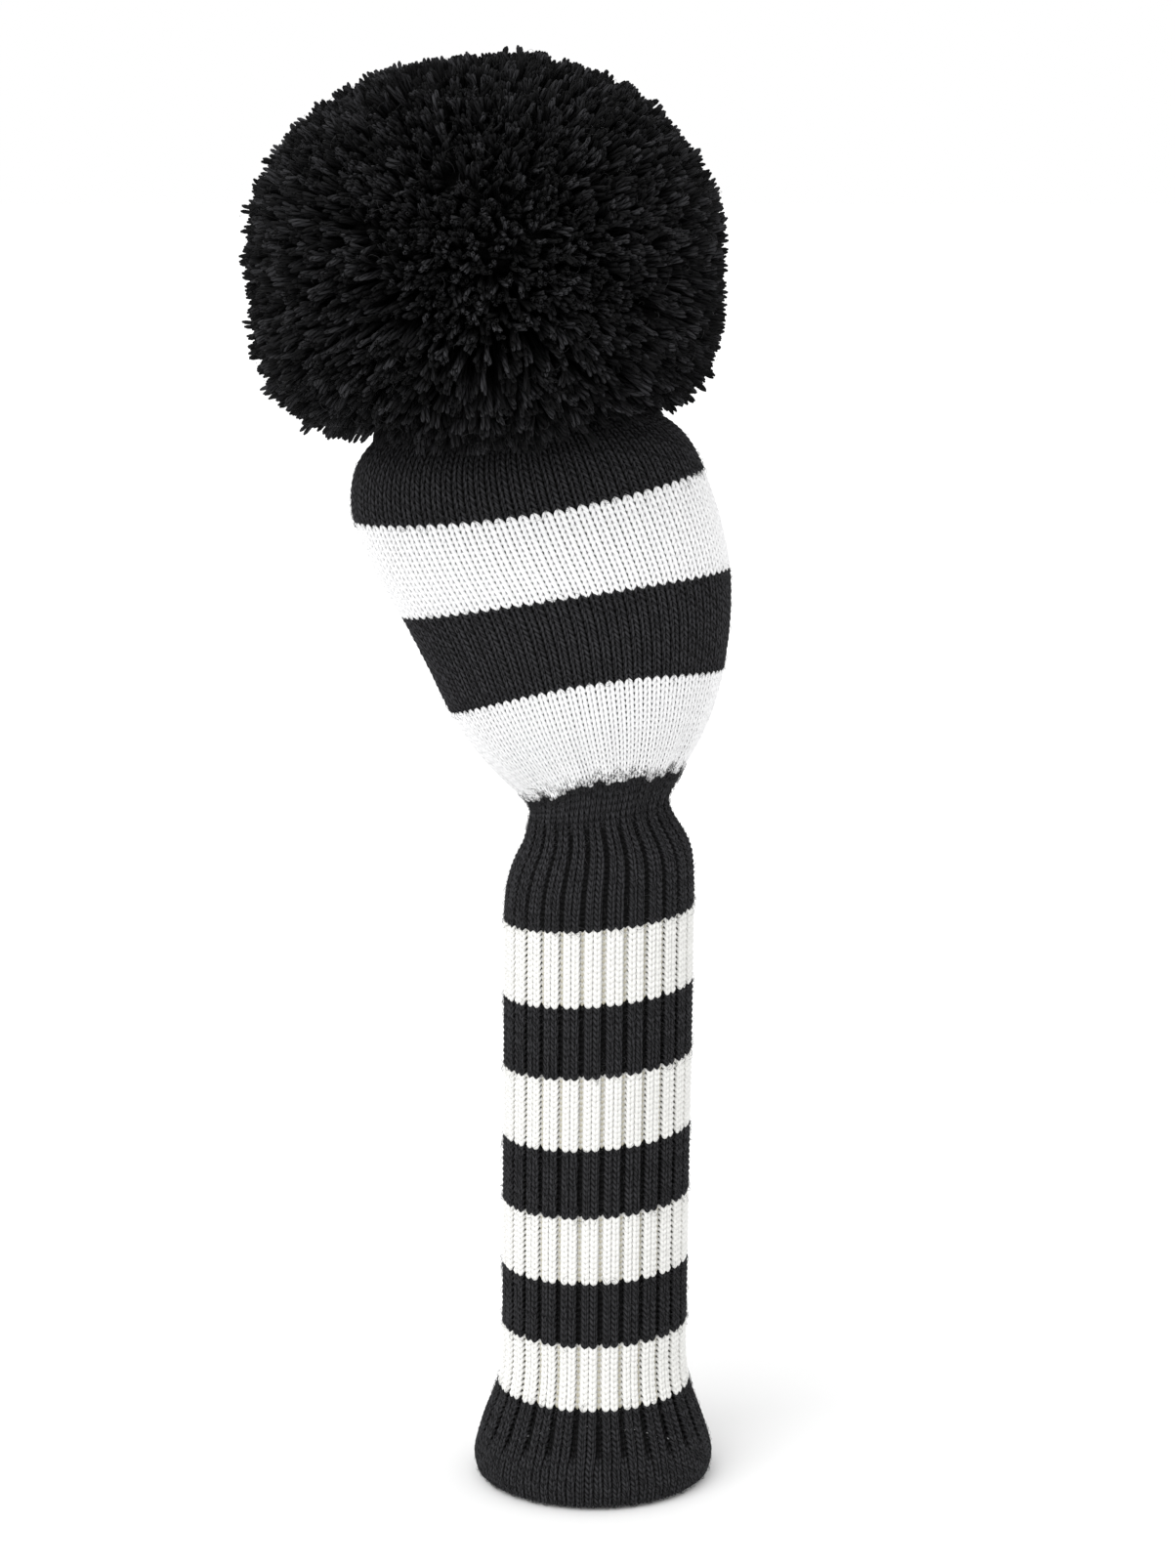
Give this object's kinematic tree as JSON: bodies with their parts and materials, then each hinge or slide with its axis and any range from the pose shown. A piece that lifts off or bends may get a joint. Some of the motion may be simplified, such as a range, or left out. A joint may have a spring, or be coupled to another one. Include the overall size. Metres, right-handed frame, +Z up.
{
  "type": "driver head cover",
  "caption": "Knitted golf driver head cover: striped ribbed sock with a flared cuff, elastic neck, banded asymmetric head bag and a large black yarn pom-pom.",
  "frame": {"origin": "centre of the cuff's mouth, on the club shaft's line", "axes": "+Z up the club shaft from the cuff towards the head bag, +X to the side that the head bag leans away from, -Y to the front"},
  "size_m": [0.1532, 0.148, 0.4575],
  "materials": {
    "white_yarn": "matte",
    "black_yarn": "matte",
    "lining_knit": "matte",
    "elastic": "matte",
    "pom_yarn": "matte",
    "washer_felt": "matte",
    "tie_thread": "matte"
  },
  "bodies": {
    "sock": {"cuff_band_black": "black_yarn", "cuff_hem_inner": "black_yarn", "cuff_hem_stitch": "tie_thread", "sock_band_1_white": "white_yarn", "sock_band_2_black": "black_yarn", "sock_band_3_white": "white_yarn", "sock_band_4_black": "black_yarn", "sock_band_5_white": "white_yarn", "sock_band_6_black": "black_yarn", "sock_band_7_white": "white_yarn", "neck_band_black": "black_yarn", "neck_gather_lower": "black_yarn", "sock_lining": "lining_knit"},
    "neck_elastic": {"neck_elastic": "elastic"},
    "head": {"neck_gather_upper": "black_yarn", "neck_linking_thread": "tie_thread", "head_band_white_lower": "white_yarn", "head_band_black_middle": "black_yarn", "head_band_white_upper": "white_yarn", "head_band_black_crown": "black_yarn", "head_lining": "lining_knit", "crown_gather_thread": "tie_thread", "anchor_washer": "washer_felt", "anchor_knot": "tie_thread", "tie_strand": "tie_thread"},
    "pom_tie": {"crown_knot": "tie_thread"},
    "pom": {"pom_tie_cord": "tie_thread", "pom_binding": "tie_thread", "pom_yarn": "pom_yarn"}
  },
  "joints": [
    {"name": "neck_forward_bend", "type": "hinge", "parent": "sock", "child": "neck_elastic", "pos_m": [0.0018, 0, 0.2198], "axis": [1, 0, 0], "range_deg": [-20, 20], "stiffness_Nm_per_rad": 1.2, "deforming": ["neck_gather_lower"]},
    {"name": "neck_side_bend", "type": "hinge", "parent": "neck_elastic", "child": "head", "pos_m": [0.0018, 0, 0.2198], "axis": [0, 1, 0], "range_deg": [-20, 20], "stiffness_Nm_per_rad": 1.2, "springref_deg": 2.06, "deforming": ["neck_gather_upper"]},
    {"name": "pom_side_tilt", "type": "hinge", "parent": "head", "child": "pom_tie", "pos_m": [-0.024, 0, 0.3542], "axis": [0, 1, 0], "range_deg": [-8, 8], "stiffness_Nm_per_rad": 0.5, "springref_deg": 1.26},
    {"name": "pom_forward_tilt", "type": "hinge", "parent": "pom_tie", "child": "pom", "pos_m": [-0.024, 0, 0.3542], "axis": [1, 0, 0], "range_deg": [-8, 8], "stiffness_Nm_per_rad": 0.5}
  ]
}
